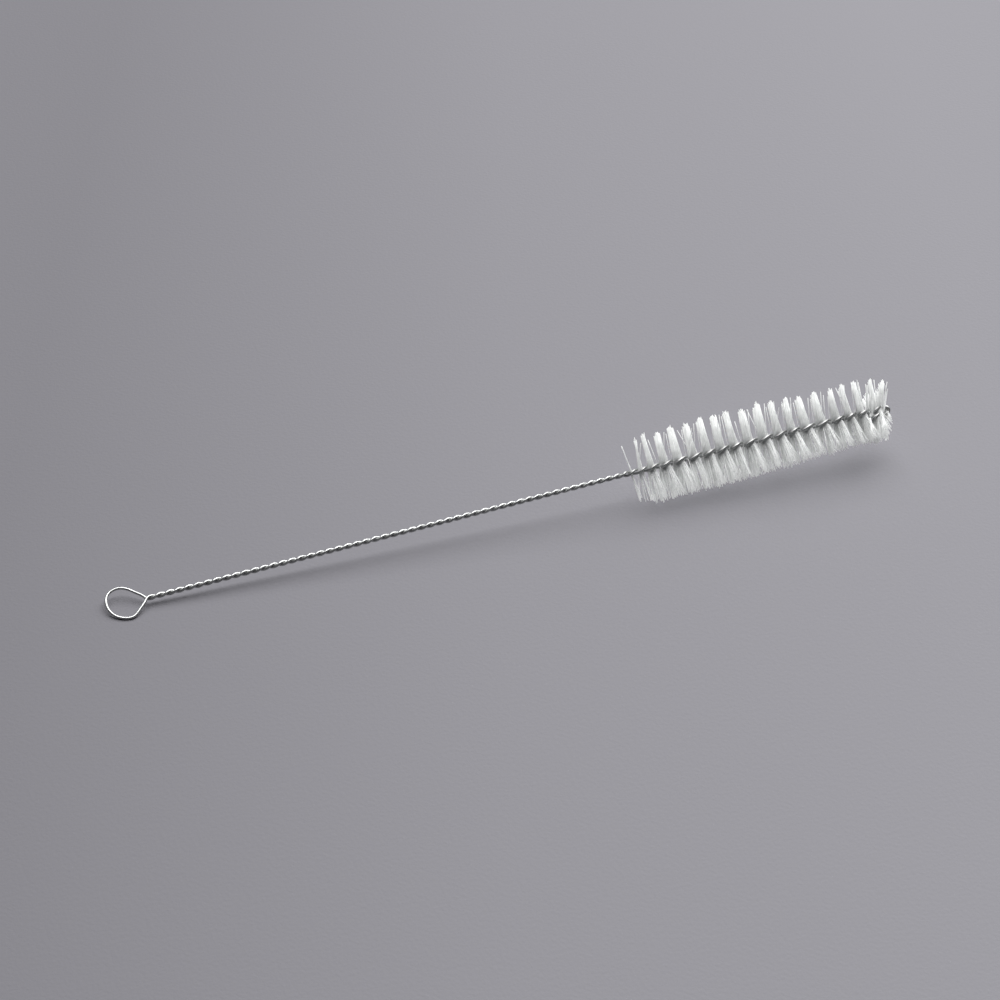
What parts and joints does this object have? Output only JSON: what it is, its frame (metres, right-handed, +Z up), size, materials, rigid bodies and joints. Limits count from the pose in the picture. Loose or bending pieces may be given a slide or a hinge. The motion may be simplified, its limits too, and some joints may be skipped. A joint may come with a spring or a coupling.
{
  "type": "bottle brush",
  "caption": "Bottle and tube cleaning brush: stiff nylon bristles held in a twisted steel wire with a hanging loop and a folded-back tip",
  "frame": {"origin": "centre of the brush's plan box, on the surface that it lies on", "axes": "+X runs along the brush from the hanging loop to the folded tip, +Y is sideways, +Z is up with the brush lying at rest on its loop and its first bristles"},
  "size_m": [0.3055, 0.027, 0.0301],
  "materials": {
    "wire": "bright drawn galvanised steel wire",
    "bristle": "natural white nylon filament, slightly translucent"
  },
  "bodies": {
    "root": {"wire": "wire", "bristle_row_01": "bristle", "bristle_row_02": "bristle", "bristle_row_03": "bristle", "bristle_row_04": "bristle", "bristle_row_05": "bristle", "bristle_row_06": "bristle", "bristle_row_07": "bristle", "bristle_row_08": "bristle", "bristle_row_09": "bristle", "bristle_row_10": "bristle", "bristle_row_11": "bristle", "bristle_row_12": "bristle", "bristle_row_13": "bristle", "bristle_row_14": "bristle", "bristle_row_15": "bristle", "bristle_row_16": "bristle", "bristle_row_17": "bristle", "bristle_row_18": "bristle", "bristle_row_19": "bristle", "bristle_row_20": "bristle", "folded_end_bristles": "bristle"}
  },
  "joints": []
}
